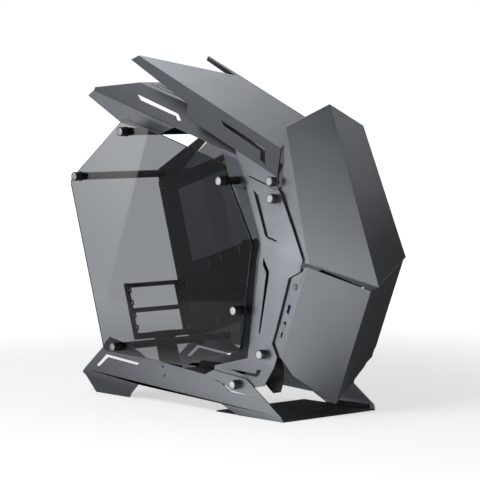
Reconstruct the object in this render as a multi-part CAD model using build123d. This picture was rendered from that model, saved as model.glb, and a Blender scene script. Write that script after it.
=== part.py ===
from build123d import *
import os
from math import atan, cos, degrees, radians, sin

os.makedirs("parts", exist_ok=True)

# Open-frame computer case made of folded aluminium sheets between two glass side panes.
# X is the width with the middle plane at X = 0, the front faces -Y and Z is up from the floor.
# Outlines of side pieces are lists of (y, z) points, and folds are (x, z) points at y = 0.

# Sheet and plate thicknesses
sheet = 2.0
frame_plate = 2.0
glass_thickness = 4.0
tray_thickness = 2.0
seat_gap = 0.2
slip = 0.15
cut_margin = 1.0

# Rods, screws and washers repeat many times, so each is a prism with this many flat sides
round_sides = 12

# Half widths, from the middle plane to an outer face
panel_half_width = 98.0
rail_half_width = 97.0
glass_inner_half_width = 108.0
tray_x = 60.0

# Top wing: a roof with a ridge, a V notch at the rear and two splayed side flanges
top_wing_slope = 0.4245
top_wing_half_width = 73.0
top_wing_ridge_z = 496.6
top_wing_fold_z = 464.2
top_wing_splay = 0.56
top_wing_tip = (161.5, 532.8)
top_wing_front_top = (-117.2, 472.9)
top_wing_front_fold = (-160.8, 396.3)
top_wing_front_low = (-173.8, 354.9)
top_wing_step_low = (25.8, 439.0)
top_wing_step_high = (33.0, 458.5)
top_wing_tip_low = (172.9, 526.5)
top_wing_slot = [(-37.7, 435.3), (-133.9, 394.3), (-145.2, 373.0),
                 (-134.0, 378.4), (-128.3, 391.3), (-47.1, 426.6)]

# Rear wing: a trapezoid roof with a vented top, side flanges and two legs
rear_wing_slope = 0.283
rear_wing_half_width = 85.0
rear_wing_top_half_width = 60.0
rear_wing_fold_z = 406.2
rear_wing_top_z = 442.2
rear_wing_outline = [(171.3, 491.5), (258.6, 483.8), (257.4, 479.0), (272.6, 470.3),
                     (192.8, 429.4), (96.2, 412.3), (60.9, 423.4), (-46.0, 392.0),
                     (-55.0, 369.0), (-70.5, 337.0), (-98.0, 327.0), (-98.0, 440.0)]
rear_wing_slot = [(168.3, 473.1), (68.1, 443.1), (55.5, 432.6),
                  (65.9, 434.0), (71.8, 440.0), (155.2, 463.8)]
vent_count = 9
vent_pitch = 11.4
vent_width = 3.5
vent_length = 96.0
vent_rear_margin = 8.0

# Upper front panel: two faces that meet in a ridge, with side flanges and a lip below
upper_ridge_top = (-187.8, 459.6)
upper_ridge_bottom = (-289.1, 197.4)
upper_fold_top = (-178.3, 427.1)
upper_fold_bottom_z = 233.6
upper_fold_top_x = 79.3
upper_side_taper = 0.1044
upper_lip_depth = 15.9
upper_lip_drop = 6.2
upper_flange_rear = [(-173.8, 419.8), (-180.0, 379.6), (-178.0, 342.0), (-162.0, 334.0),
                     (-162.0, 313.0), (-205.0, 240.0)]

# Lower front panel: two faces that meet in a ridge, with a flange for the sockets
lower_ridge_bottom = (-201.3, 19.1)
lower_fold_bottom = (-187.8, 95.2)
lower_fold_top_z = 229.0
lower_corner_x = 73.1
lower_corner_z = 66.1
lower_flange_rear = [(-196.0, 222.0), (-150.0, 140.0), (-136.0, 106.0), (-136.0, 89.0)]

# Pillar: a tall side plate with a crease, an undercut foot and two kinked slots
pillar_slope = 0.19
pillar_crease_z = 288.0
pillar_foot_z = 112.2
pillar_foot_end_z = 78.0
pillar_outline = [(-78.5, 395.0), (-173.3, 354.3), (-175.5, 336.4), (-179.7, 335.0),
                  (-213.2, 280.2), (-236.7, 239.3), (-230.6, 221.8), (-207.9, 211.8),
                  (-180.8, 134.7), (-172.3, 115.1), (-183.0, 95.7), (-176.6, 79.2),
                  (-148.0, 49.2), (-112.0, 42.0), (-60.0, 42.0), (-40.0, 56.0), (-40.0, 70.0),
                  (-120.9, 88.7), (-139.5, 233.0), (-146.0, 258.0), (-141.0, 266.0),
                  (-127.3, 262.1), (-83.6, 339.8), (-111.1, 334.0)]
pillar_upper_slot = [(-125.0, 334.6), (-135.5, 327.6), (-160.5, 274.7), (-162.8, 269.0),
                     (-181.0, 264.1), (-181.5, 262.3), (-162.0, 266.6), (-156.6, 270.0)]
pillar_lower_slot = [(-154.5, 237.8), (-166.5, 217.8), (-164.5, 204.9), (-147.2, 126.1),
                     (-144.6, 128.0), (-158.8, 206.0), (-160.3, 216.0), (-153.2, 228.0)]
pillar_slit = [(-113.5, 355.6), (-172.0, 338.3), (-172.0, 336.5), (-113.8, 353.8)]
pillar_foot_slot = [(-76.0, 67.4), (-101.5, 62.6), (-134.0, 61.4), (-142.0, 66.3),
                    (-148.0, 73.3), (-138.0, 72.9), (-133.0, 66.3), (-98.5, 67.1)]

# Wing bracket: an angle that joins the pillar to the top wing
bracket_screw_margin = 9.0
bracket_leg_up = 14.0
bracket_y_from = -172.0
bracket_y_to = -92.0

# Base rail: a long side plate with an undercut lower flange that makes two feet
rail_fold_rear_z = 31.0
rail_fold_front_z = 8.0
rail_rear_y = 275.0
rail_front_y = -186.0
rail_undercut = 0.25
rail_top = [(270.4, 36.4), (224.3, 74.0), (204.1, 92.5), (164.5, 85.6), (132.8, 75.8),
            (115.9, 67.9), (84.9, 64.6), (-19.7, 54.5), (-40.1, 63.2), (-113.3, 56.0)]
rear_foot = [(267.0, 25.0), (249.5, 0.0), (166.0, 0.0), (158.0, 8.0), (136.0, 21.0)]
front_foot_y_top = -55.0
front_foot_y = -91.4
front_tip_y = -190.0
rail_rear_slot = [(240.3, 44.3), (215.0, 64.1), (133.7, 57.3),
                  (138.6, 53.8), (210.0, 59.8), (232.7, 43.4)]
rail_front_slot = [(-41.3, 49.4), (-59.2, 46.7), (-79.0, 36.5), (-129.6, 31.5),
                   (-78.0, 33.6), (-66.0, 40.0), (-60.0, 43.6)]
rail_tab_slot = [(126.6, 26.6), (112.0, 26.2), (112.0, 23.6), (126.6, 23.6)]
rail_small_holes = [(77.4, 57.1), (72.8, 43.7)]
small_hole_radius = 1.8

# Plates between the rails, each with upturned sides
floor_plate_rear_y = -40.0
floor_lip_height = 8.0
floor_lip_from_y = -178.0
floor_lip_to_y = -102.0
rear_floor_z = 28.0
rear_floor_from_y = 140.0
rear_floor_to_y = 212.0
rear_floor_lip = 12.0
rear_floor_lip_end = 6.0

# Tray: the plate that carries the main board, leaning back by its own angle
tray_lean = 17.0
tray_rear_y = 222.1
tray_rear_z = 171.5
tray_top = 165.0
tray_bottom = -97.0
tray_front = 252.0
tray_corner = 26.0
tray_lug_radius = 11.0
window_from_u = 42.0
window_length = 146.0
window_from_v = 20.0
window_height = 121.0
window_corner = 3.0
arm_outline = [(2.6, 150.0), (2.6, 175.7), (10.0, 185.5), (112.0, 206.4), (134.0, 217.5), (143.7, 222.4),
               (154.7, 211.4), (150.0, 202.0), (129.0, 196.7), (60.0, 168.0), (60.0, 150.0)]
board_hole_u = [12.0, 169.6, 239.0]
board_hole_v = [150.0, -6.6, -80.0]
standoff_radius = 3.0
standoff_height = 6.5
standoff_bore = 1.5
tray_slots = [(80.7, 8.9), (111.5, 11.3), (158.3, 11.2), (74.1, -86.2), (107.6, -90.4)]
tray_slot_length = 13.0
tray_slot_width = 4.0
tray_slit_u = 20.5
tray_slit_top_v = -10.0
tray_slit_length = 9.0
tray_slit_width = 2.0

# Slot bracket for expansion cards, in the plane of the tray's rear edge
slot_pitch = 20.32
slot_count = 4
slot_bracket_reach = 113.0
slot_top_v = 0.5
slot_top_bar = 7.0
slot_middle_bar = 7.3
slot_bottom_bar = 10.0
slot_side_bar = 9.0
slot_flange = 8.0
slot_tab_length = 8.0
slot_tab_reach = 3.5
slot_tab_bore = 1.6

# Support post: a leaning plate from the slot bracket down to the rear floor, with a foot
post_from_x = -9.0
post_to_x = 33.0
post_overlap = 9.0
post_foot = 18.0

# Tie rods between the panes, and the screws at their ends
rod_radius = 6.0
rod_spots = [(146.5, 415.7), (260.5, 343.5), (-80.7, 347.2), (167.0, 81.5), (-112.5, 158.8)]
screw_head_radius = 7.0
screw_head_length = 11.0
screw_cap_length = 1.2
screw_cap_radius = 5.6
screw_shank_radius = 2.5
screw_reach = 10.0
screw_bore_depth = 12.0
washer_thickness = 0.8
washer_radius = 7.5
glass_hole_radius = 3.2

# Screws on the pillars and the rails, by the plate that they hold
pillar_screw_spots = [(-167.0, 348.0), (-171.0, 323.5), (-156.3, 97.3)]
rail_screw_spot = (-92.6, 46.7)
frame_screw_shank = 9.0
rod_3_end_x = 76.0
rod_5_end_x = 88.0

# Glass pane: a seven-sided outline with rounded corners
glass_outline = [(150.4, 436.4), (285.9, 336.7), (201.8, 72.5), (14.8, 66.2),
                 (-115.2, 100.8), (-141.0, 259.0), (-75.9, 373.2)]
glass_corner = 12.0

# Front bracket: a cross plate with a fan opening above and a power supply opening below
front_bracket_y = -148.0
front_bracket_low_z = 92.0
front_bracket_shoulder_z = 262.0
front_bracket_shoulder_rise = 12.0
front_bracket_high_z = 330.0
front_bracket_top_half_width = 80.0
front_bracket_flange = [(-165.0, 88.0), (-165.0, 108.0), (-148.0, 114.0), (-148.0, 262.0),
                        (-106.0, 262.0), (-100.0, 250.0), (-100.0, 90.0)]
front_leg_x = -76.0
front_leg_outline = [(-149.0, 112.0), (-149.0, 78.0), (-131.0, 49.0), (-148.0, 37.0),
                     (-163.0, 40.0), (-169.5, 57.0), (-169.0, 75.0), (-158.0, 112.0)]
fan_centre_z = 266.0
fan_opening_radius = 57.0
fan_hole_spacing = 105.0
fan_hole_radius = 2.2
supply_centre_z = 152.0
supply_opening_width = 126.0
supply_opening_height = 78.0
supply_hole_margin = 6.0
supply_hole_drop = 7.0
supply_hole_radius = 1.9

# Sockets and power button on the flange of the lower front panel
port_line_top = (-217.3, 199.0)
port_line_bottom = (-189.2, 127.8)
button_radius = 4.6
button_rise = 1.2
button_travel = 0.8
button_collar_radius = 6.0
button_collar = 1.2
button_stem_radius = 2.0
button_stem_length = 5.0
button_clearance = 0.1
button_slip = 0.05
switch_size = 6.0
port_usb_a = 0.46
port_audio = 0.75
usb_a_length = 13.1
usb_a_width = 5.7
usb_c_length = 9.0
usb_c_width = 3.3
audio_radius = 1.8
socket_wall = 0.8
socket_depth = 11.0
port_board_thickness = 1.6
port_board_width = 20.0
port_board_length = 100.0


def side_face(outline, x_at, corner=0.0):
    """A flat face at one X from a (y, z) outline, with rounded corners where asked."""
    face = make_face(Polyline(*outline, close=True))
    if corner > 0:
        face = fillet(face.vertices(), corner)
    return Plane.YZ.offset(x_at) * face


def side_plate(outline, x_from, x_to, corner=0.0):
    return extrude(side_face(outline, x_from, corner), x_to - x_from)


def round_along_x(spot, radius, x_from, x_to):
    face = Plane.YZ.offset(x_from) * (Pos(spot[0], spot[1]) * Circle(radius))
    return extrude(face, x_to - x_from)


def rod_along_x(spot, radius, x_from, x_to):
    """A round rod or bore with a few flat sides, the same way up for the rod and for its bore."""
    face = Plane.YZ.offset(x_from) * (Pos(spot[0], spot[1]) * RegularPolygon(radius, round_sides))
    return extrude(face, x_to - x_from)


def flat_slot(length, width):
    """A slot along Y whose round ends have a few flat sides."""
    return chamfer(Rectangle(width, length).vertices(), width / 3)


def span(outline):
    """The y range of an outline, a little past its front and rear points."""
    depths = [y for y, z in outline]
    return min(depths) - cut_margin, max(depths) + cut_margin


def mirrored(shape):
    return mirror(shape, about=Plane.YZ)


def sloped_prism(profile, slope, y_from, y_to):
    """A closed (x, z) profile at y = 0 carried along a slope from one y to another."""
    angle = atan(slope)
    points = [(x, y_from, z + slope * y_from) for x, z in profile]
    face = make_face(Polyline(*points, close=True))
    length = (y_to - y_from) / cos(angle)
    return extrude(face, length, dir=(0, cos(angle), sin(angle)))


def inset(points, distance):
    """A clockwise closed outline moved inwards by a distance, with sharp corners."""
    moved = []
    for index, point in enumerate(points):
        before = Vector(*points[index - 1])
        here = Vector(*point)
        after = Vector(*points[(index + 1) % len(points)])
        run_in = (here - before).normalized()
        run_out = (after - here).normalized()
        normal_in = Vector(run_in.Y, -run_in.X)
        normal_out = Vector(run_out.Y, -run_out.X)
        corner = here + (normal_in + normal_out) * (distance / (1 + normal_in.dot(normal_out)))
        moved.append((corner.X, corner.Y))
    return moved


def folded_roof(half_profile, slope, y_from, y_to):
    """A folded sheet, open below: the half profile runs from the flange end to the middle."""
    outer = half_profile + [(-x, z) for x, z in reversed(half_profile) if x != 0]
    inner = inset(outer, sheet)
    return sloped_prism(outer, slope, y_from, y_to) - sloped_prism(inner, slope, y_from, y_to)


def leaf(profile, thickness, slope, y_from, y_to):
    """A folded side sheet: outer (x, z) points at y = 0, with the thickness towards the middle."""
    inner = [(x + thickness, z) for x, z in reversed(profile)]
    return sloped_prism(profile + inner, slope, y_from, y_to)


def polygon_plate(points, direction, thickness):
    face = make_face(Polyline(*points, close=True))
    return extrude(face, thickness, dir=direction)


def plane_y(first, second, third, x, z):
    """The y at which a plane through three points passes over (x, z)."""
    a = Vector(*second) - Vector(*first)
    b = Vector(*third) - Vector(*first)
    normal = a.cross(b)
    return first[1] - (normal.X * (x - first[0]) + normal.Z * (z - first[2])) / normal.Y


def save(solids, name):
    """One file per piece, with identical fasteners together as a group of solids."""
    shape = solids[0] if len(solids) == 1 else Compound(children=solids)
    export_step(shape, "parts/" + name + ".step")


# Top wing
top_flange_reach = top_wing_fold_z - top_wing_front_low[1]
top_profile = [
    (-top_wing_half_width - top_flange_reach * top_wing_splay, top_wing_fold_z - top_flange_reach),
    (-top_wing_half_width, top_wing_fold_z),
    (0, top_wing_ridge_z),
]
top_wing_outline = [top_wing_tip, top_wing_front_top, top_wing_front_fold, top_wing_front_low,
                    top_wing_step_low, top_wing_step_high, top_wing_tip_low]
wing_reach = 2 * glass_inner_half_width
top_wing = folded_roof(top_profile, top_wing_slope, *span(top_wing_outline))
top_wing = top_wing & side_plate(top_wing_outline, -wing_reach, wing_reach)
top_wing = top_wing - side_plate(top_wing_slot, -wing_reach, wing_reach)

# Rear wing
rear_profile = [
    (-rear_wing_half_width, min(z for y, z in rear_wing_outline)),
    (-rear_wing_half_width, rear_wing_fold_z),
    (-rear_wing_top_half_width, rear_wing_top_z),
]
rear_wing = folded_roof(rear_profile, rear_wing_slope, *span(rear_wing_outline))
rear_wing = rear_wing & side_plate(rear_wing_outline, -wing_reach, wing_reach)
rear_wing = rear_wing - side_plate(rear_wing_slot, -wing_reach, wing_reach)
vent_y = rear_wing_outline[0][0] - vent_rear_margin - vent_length / 2
vent_z = rear_wing_top_z + rear_wing_slope * vent_y
for index in range(vent_count):
    vent_x = (index - (vent_count - 1) / 2) * vent_pitch
    vent = Pos(vent_x, vent_y, vent_z) * flat_slot(vent_length, vent_width)
    rear_wing = rear_wing - extrude(vent, vent_length * rear_wing_slope, both=True)

# Upper front panel
upper_ridge_top_point = (0, upper_ridge_top[0], upper_ridge_top[1])
upper_ridge_bottom_point = (0, upper_ridge_bottom[0], upper_ridge_bottom[1])
upper_fold_top_point = (-upper_fold_top_x, upper_fold_top[0], upper_fold_top[1])
upper_fold_bottom_x = -(upper_fold_top_x + (upper_fold_top[1] - upper_fold_bottom_z) * upper_side_taper)
upper_fold_bottom_y = plane_y(upper_ridge_top_point, upper_ridge_bottom_point, upper_fold_top_point,
                              upper_fold_bottom_x, upper_fold_bottom_z)
upper_fold_bottom_point = (upper_fold_bottom_x, upper_fold_bottom_y, upper_fold_bottom_z)
upper_lip_point = (0, upper_ridge_bottom[0] + upper_lip_depth, upper_ridge_bottom[1] - upper_lip_drop)
upper_face = polygon_plate([upper_ridge_top_point, upper_ridge_bottom_point,
                            upper_fold_bottom_point, upper_fold_top_point], (0, 1, 0), sheet)
upper_lip = polygon_plate([upper_ridge_bottom_point, upper_lip_point, upper_fold_bottom_point],
                          (0, 0, 1), sheet)
upper_side_outline = [(upper_fold_bottom_y, upper_fold_bottom_z), upper_fold_top] + upper_flange_rear
upper_side_fold = [(-upper_fold_top_x, upper_fold_top[1]), (upper_fold_bottom_x, upper_fold_bottom_z)]
upper_side_leaf = leaf(upper_side_fold, sheet, 0, *span(upper_side_outline))
upper_side = upper_side_leaf & side_plate(upper_side_outline, -wing_reach, 0)
upper_half = upper_face + upper_lip + upper_side
front_upper_panel = upper_half + mirrored(upper_half)

# Lower front panel
lower_ridge_top_point = (0, upper_lip_point[1], upper_lip_point[2] - seat_gap)
lower_ridge_bottom_point = (0, lower_ridge_bottom[0], lower_ridge_bottom[1])
lower_fold_bottom_point = (-panel_half_width, lower_fold_bottom[0], lower_fold_bottom[1])


def lower_plane_point(x, z):
    y = plane_y(lower_ridge_top_point, lower_ridge_bottom_point, lower_fold_bottom_point, x, z)
    return (x, y, z)


lower_fold_top_point = lower_plane_point(-panel_half_width, lower_fold_top_z)
lower_corner_point = lower_plane_point(-lower_corner_x, lower_corner_z)
lower_face = polygon_plate([lower_ridge_top_point, lower_ridge_bottom_point, lower_corner_point,
                            lower_fold_bottom_point, lower_fold_top_point], (0, 1, 0), sheet)
lower_side_outline = [lower_fold_bottom, lower_fold_top_point[1:]] + lower_flange_rear
lower_side = side_plate(lower_side_outline, -panel_half_width, -panel_half_width + sheet)
lower_half = lower_face + lower_side


def port_spot(share):
    """A place along the line of sockets, from the button at 0 to the last socket at 1."""
    y = port_line_top[0] + share * (port_line_bottom[0] - port_line_top[0])
    z = port_line_top[1] + share * (port_line_bottom[1] - port_line_top[1])
    return (y, z)


port_run = port_line_bottom[0] - port_line_top[0]
port_fall = port_line_top[1] - port_line_bottom[1]
port_lean = degrees(atan(port_run / port_fall))


def port_prism(share, width, length, x_from, x_to):
    """A rounded slot shape along the line of sockets, as a prism across the flange."""
    spot = port_spot(share)
    face = Pos(spot[0], spot[1]) * (Rot(0, 0, port_lean) * SlotOverall(length, width, rotation=90))
    return extrude(Plane.YZ.offset(x_from) * face, x_to - x_from)


def port_block(share, width, length, x_from, x_to):
    spot = port_spot(share)
    face = Pos(spot[0], spot[1]) * (Rot(0, 0, port_lean) * Rectangle(width, length))
    return extrude(Plane.YZ.offset(x_from) * face, x_to - x_from)


port_outer_x = -panel_half_width
port_inner_x = port_outer_x + sheet
port_cut_from = port_outer_x - cut_margin
port_cut_to = port_inner_x + cut_margin
button_bore = round_along_x(port_spot(0), button_radius + button_clearance, port_cut_from, port_cut_to)
usb_a_bore = port_block(port_usb_a, usb_a_width, usb_a_length, port_cut_from, port_cut_to)
audio_bore = round_along_x(port_spot(port_audio), audio_radius + socket_wall, port_cut_from, port_cut_to)
usb_c_bore = port_prism(1, usb_c_width, usb_c_length, port_cut_from, port_cut_to)
front_lower_panel = lower_half + mirrored(lower_half)
front_lower_panel = front_lower_panel - button_bore - usb_a_bore - audio_bore - usb_c_bore

# Pillars
pillar_outer_x = -upper_fold_bottom_x + frame_plate + seat_gap
skirt_outer_x = rail_half_width - frame_plate - seat_gap
pillar_heights = [z - pillar_slope * y for y, z in pillar_outline]
pillar_top_z = max(pillar_heights) + cut_margin
pillar_top_x = pillar_outer_x - upper_side_taper * (pillar_top_z - pillar_crease_z)
pillar_profile = [
    (-pillar_top_x, pillar_top_z),
    (-pillar_outer_x, pillar_crease_z),
    (-pillar_outer_x, pillar_foot_z),
    (-skirt_outer_x, pillar_foot_end_z),
    (-skirt_outer_x, min(pillar_heights) - cut_margin),
]
left_pillar = leaf(pillar_profile, frame_plate, pillar_slope, *span(pillar_outline))
left_pillar = left_pillar & side_plate(pillar_outline, -wing_reach, 0)
for slot in (pillar_upper_slot, pillar_lower_slot, pillar_slit, pillar_foot_slot):
    left_pillar = left_pillar - side_plate(slot, -wing_reach, 0)


def pillar_face_x(spot):
    """The outer face of the left pillar at a (y, z) place above its foot."""
    crease = pillar_crease_z + pillar_slope * spot[0]
    return -pillar_outer_x + max(0, spot[1] - crease) * upper_side_taper


# Wing brackets: one leg inside the pillar and one inside the flange of the top wing
def wing_bend(y, inward):
    """The point at one y where the inner faces of the pillar and the wing's flange cross."""
    flange_steep = top_wing_splay
    flange_at_zero = -top_wing_half_width - (top_wing_fold_z + top_wing_slope * y) * flange_steep
    flange_in = sheet * (1 + flange_steep ** 2) ** 0.5 + inward
    pillar_at_zero = -pillar_outer_x - (pillar_crease_z + pillar_slope * y) * upper_side_taper
    pillar_in = frame_plate + inward
    z = (pillar_at_zero + pillar_in - flange_at_zero - flange_in) / (flange_steep - upper_side_taper)
    return Vector(flange_at_zero + flange_in + z * flange_steep, y, z)


def bracket_leg(way):
    """A leg of the bracket: the line of the bend, carried down or up one sheet."""
    corners = [bend_from, bend_to, bend_to + way, bend_from + way]
    return polygon_plate(corners, (1, 0, 0), sheet)


bend_from = wing_bend(bracket_y_from, seat_gap)
bend_to = wing_bend(bracket_y_to, seat_gap)
bracket_screw = pillar_screw_spots[0]
bracket_leg_down = wing_bend(bracket_screw[0], seat_gap).Z - bracket_screw[1] + bracket_screw_margin
lower_way = Vector(-upper_side_taper, 0, -1) * bracket_leg_down
upper_way = Vector(top_wing_splay, 0, 1) * bracket_leg_up
left_wing_bracket = bracket_leg(lower_way) + bracket_leg(upper_way)


# Base rails
def rail_fold_z(y):
    share = (y - rail_front_y) / (rail_rear_y - rail_front_y)
    return rail_fold_front_z + share * (rail_fold_rear_z - rail_fold_front_z)


def undercut_point(y, z, inward=0.0):
    """A point of the rail's lower flange, which leans inwards below the fold."""
    return (-rail_half_width + (rail_fold_z(y) - z) * rail_undercut + inward, y, z)


rail_rear_fold = (rail_rear_y, rail_fold_z(rail_rear_y))
rail_front_fold = (rail_front_y, rail_fold_z(rail_front_y))
rail_face_outline = rail_top + [rail_front_fold, rail_rear_fold]
rail_face = side_plate(rail_face_outline, -rail_half_width, -rail_half_width + frame_plate)
rear_foot_start = rear_foot[-1][0]
rear_flange_points = [rail_rear_fold] + rear_foot[:-1] + [(rear_foot_start, rail_fold_z(rear_foot_start))]
front_flange_points = [(front_foot_y_top, rail_fold_z(front_foot_y_top)), (front_foot_y, 0.0),
                       (front_tip_y, 0.0), rail_front_fold]
left_rail = rail_face
for points in (rear_flange_points, front_flange_points):
    corners = [undercut_point(y, z) for y, z in points]
    left_rail = left_rail + polygon_plate(corners, (1, 0, 0), frame_plate)
for slot in (rail_rear_slot, rail_front_slot, rail_tab_slot):
    left_rail = left_rail - side_plate(slot, -wing_reach, 0)
for spot in rail_small_holes:
    left_rail = left_rail - rod_along_x(spot, small_hole_radius, -wing_reach, 0)

# Front floor plate: a trapezoid between the leaning flanges of the rails, with leaning lips
floor_inward = frame_plate + seat_gap
floor_ends = (front_tip_y, floor_plate_rear_y)
floor_left = [undercut_point(y, 0.0, floor_inward)[:2] for y in floor_ends]
floor_outline = floor_left + [(-x, y) for x, y in reversed(floor_left)]
floor_lip = polygon_plate([
    undercut_point(floor_lip_from_y, 0.0, floor_inward),
    undercut_point(floor_lip_from_y, floor_lip_height, floor_inward),
    undercut_point(floor_lip_to_y, floor_lip_height, floor_inward),
    undercut_point(floor_lip_to_y, 0.0, floor_inward),
], (1, 0, 0), sheet)
floor_plate = extrude(make_face(Polyline(*floor_outline, close=True)), sheet)
floor_plate = floor_plate + floor_lip + mirrored(floor_lip)

# Rear floor: a channel between the rails that carries the support post
rear_floor_length = rear_floor_to_y - rear_floor_from_y
rear_floor_half_width = rail_half_width - frame_plate - seat_gap
rear_floor_place = Pos(0, rear_floor_from_y + rear_floor_length / 2, rear_floor_z)
rear_floor = rear_floor_place * Box(2 * rear_floor_half_width, rear_floor_length, sheet)
rear_lip_outline = [(rear_floor_from_y, rear_floor_z), (rear_floor_to_y, rear_floor_z),
                    (rear_floor_to_y - rear_floor_lip_end, rear_floor_z + rear_floor_lip),
                    (rear_floor_from_y + rear_floor_lip_end, rear_floor_z + rear_floor_lip)]
rear_lip = side_plate(rear_lip_outline, -rear_floor_half_width, -rear_floor_half_width + sheet)
rear_floor = rear_floor + rear_lip + mirrored(rear_lip)

# Tray, in its own plane: u runs forward and v runs up along the leaning plate
lean_sin = sin(radians(tray_lean))
lean_cos = cos(radians(tray_lean))
lean_way = (0, -lean_cos, lean_sin)
tray_plane = Plane(origin=(tray_x, tray_rear_y, tray_rear_z), x_dir=lean_way, z_dir=(-1, 0, 0))
board_plane = Plane(origin=(0, tray_rear_y, tray_rear_z), x_dir=(1, 0, 0), z_dir=lean_way)


def tray_spot(y, z):
    """A (y, z) place turned into the (u, v) of the tray."""
    back = y - tray_rear_y
    rise = z - tray_rear_z
    return (-back * lean_cos + rise * lean_sin, back * lean_sin + rise * lean_cos)


rod_1_spot, rod_2_spot, rod_3_spot, rod_4_spot, rod_5_spot = rod_spots
tray_middle = Pos(tray_front / 2, (tray_top + tray_bottom) / 2)
tray_face = tray_middle * Rectangle(tray_front, tray_top - tray_bottom)
tray_face = chamfer(tray_face.vertices().sort_by(Axis.X)[-2:], tray_corner)
tray_face = tray_face + make_face(Polyline(*arm_outline, close=True))
for spot in (rod_1_spot, rod_2_spot, rod_4_spot):
    tray_face = tray_face + Pos(*tray_spot(*spot)) * Circle(tray_lug_radius)
window_centre = Pos(window_from_u + window_length / 2, window_from_v + window_height / 2)
tray_face = tray_face - window_centre * RectangleRounded(window_length, window_height, window_corner)
for u, v in tray_slots:
    tray_face = tray_face - Pos(u, v) * flat_slot(tray_slot_length, tray_slot_width)
for index in range(slot_count):
    slit_place = Pos(tray_slit_u, tray_slit_top_v - index * slot_pitch)
    tray_face = tray_face - slit_place * Rectangle(tray_slit_width, tray_slit_length)
board_spots = [(u, v) for u in board_hole_u for v in board_hole_v]
for u, v in board_spots:
    tray_face = tray_face - Pos(u, v) * RegularPolygon(standoff_bore + slip, 6, major_radius=False)
motherboard_tray = extrude(tray_plane * tray_face, -tray_thickness)

standoffs = []
for u, v in board_spots:
    standoff_face = Pos(u, v) * (RegularPolygon(standoff_radius, 6) - Circle(standoff_bore))
    standoffs.append(extrude(tray_plane * standoff_face, standoff_height))

# Slot bracket: two windows, a strip with screw tabs and a flange against the tray
slot_right_x = tray_x - seat_gap
slot_left_x = tray_x - slot_bracket_reach
slot_window_height = 2 * slot_pitch - slot_middle_bar
slot_bottom_v = slot_top_v - slot_top_bar - 4 * slot_pitch + slot_middle_bar - slot_bottom_bar
slot_centre_x = (slot_right_x + slot_left_x) / 2
slot_centre_v = (slot_top_v + slot_bottom_v) / 2
slot_span = slot_top_v - slot_bottom_v
slot_width = slot_right_x - slot_left_x
slot_face = Pos(slot_centre_x, slot_centre_v) * Rectangle(slot_width, slot_span)
for index in range(2):
    window_v = slot_top_v - slot_top_bar - slot_window_height / 2 - index * 2 * slot_pitch
    slot_window = Rectangle(slot_width - 2 * slot_side_bar, slot_window_height)
    slot_face = slot_face - Pos(slot_centre_x, window_v) * slot_window
for index in range(slot_count):
    tab_v = slot_top_v - slot_top_bar - slot_tab_length / 2 - index * slot_pitch
    tab_x = slot_left_x + slot_side_bar + slot_tab_reach / 2
    slot_face = slot_face + Pos(tab_x, tab_v) * Rectangle(slot_tab_reach, slot_tab_length)
    tab_notch = RegularPolygon(slot_tab_bore, round_sides)
    slot_face = slot_face - Pos(tab_x - slot_tab_reach / 2, tab_v) * tab_notch
slot_bracket = extrude(board_plane * slot_face, sheet)
for flange_x in (slot_left_x + sheet / 2, slot_right_x - sheet / 2):
    flange_face = Pos(flange_x, slot_centre_v) * Rectangle(sheet, slot_span)
    slot_bracket = slot_bracket + extrude(board_plane * flange_face, slot_flange)

# Support post
post_top_v = slot_bottom_v + post_overlap
post_low_z = rear_floor_z + sheet / 2
post_low_v = (post_low_z - tray_rear_z) / lean_cos
post_middle_x = (post_from_x + post_to_x) / 2
post_width = post_to_x - post_from_x
post_length = post_top_v - post_low_v + 2 * sheet
post_face = Pos(post_middle_x, (post_top_v + post_low_v) / 2) * Rectangle(post_width, post_length)
post_leaning = extrude(board_plane.offset(-seat_gap) * post_face, -sheet)
post_low_y = tray_rear_y + post_low_v * lean_sin
post_foot_place = Pos(post_middle_x, post_low_y + post_foot / 2, post_low_z + sheet / 2)
support_post = post_leaning + post_foot_place * Box(post_width, post_foot, sheet)
post_room_place = Pos(post_middle_x, post_low_y, post_low_z + post_length / 2)
support_post = support_post & post_room_place * Box(post_width, 2 * post_length, post_length)

# Tie rods between the panes and the short posts near the front
glass_outer_x = glass_inner_half_width + glass_thickness
rod_outer_x = glass_inner_half_width - washer_thickness


def rod_with_bore(spot, inner_x):
    """A rod at -X with a blind bore for the pane's screw in its outer end."""
    bore = rod_along_x(spot, screw_shank_radius, -rod_outer_x, -rod_outer_x + screw_bore_depth)
    return rod_along_x(spot, rod_radius, -rod_outer_x, inner_x) - bore


tie_rods = []
for spot in (rod_1_spot, rod_2_spot, rod_4_spot):
    half = rod_with_bore(spot, 0)
    tie_rods.append(half + mirrored(half))
front_posts = []
for spot, end_x in ((rod_3_spot, rod_3_end_x), (rod_5_spot, rod_5_end_x)):
    post = rod_with_bore(spot, -end_x)
    front_posts += [post, mirrored(post)]
for spot in rod_spots:
    rod_cut = rod_along_x(spot, rod_radius + slip, -glass_outer_x, glass_outer_x)
    left_pillar = left_pillar - rod_cut
    left_rail = left_rail - rod_cut
    rear_wing = rear_wing - rod_cut
    motherboard_tray = motherboard_tray - rod_cut

# Glass panes
left_glass = side_plate(glass_outline, -glass_outer_x, -glass_inner_half_width, glass_corner)
for spot in rod_spots:
    left_glass = left_glass - rod_along_x(spot, glass_hole_radius, -glass_outer_x - cut_margin, 0)


# Screws: a round head with a metal cap set into its end, placed on a seat that faces outwards
def seat_plane(spot, x_at, lean=0.0):
    return Plane(origin=(x_at, spot[0], spot[1]), x_dir=(0, 1, 0), z_dir=(-1, -pillar_slope * lean, lean))


def cap_block():
    cap_face = RegularPolygon(screw_cap_radius, round_sides)
    return Pos(0, 0, screw_head_length) * extrude(cap_face, -screw_cap_length)


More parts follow.
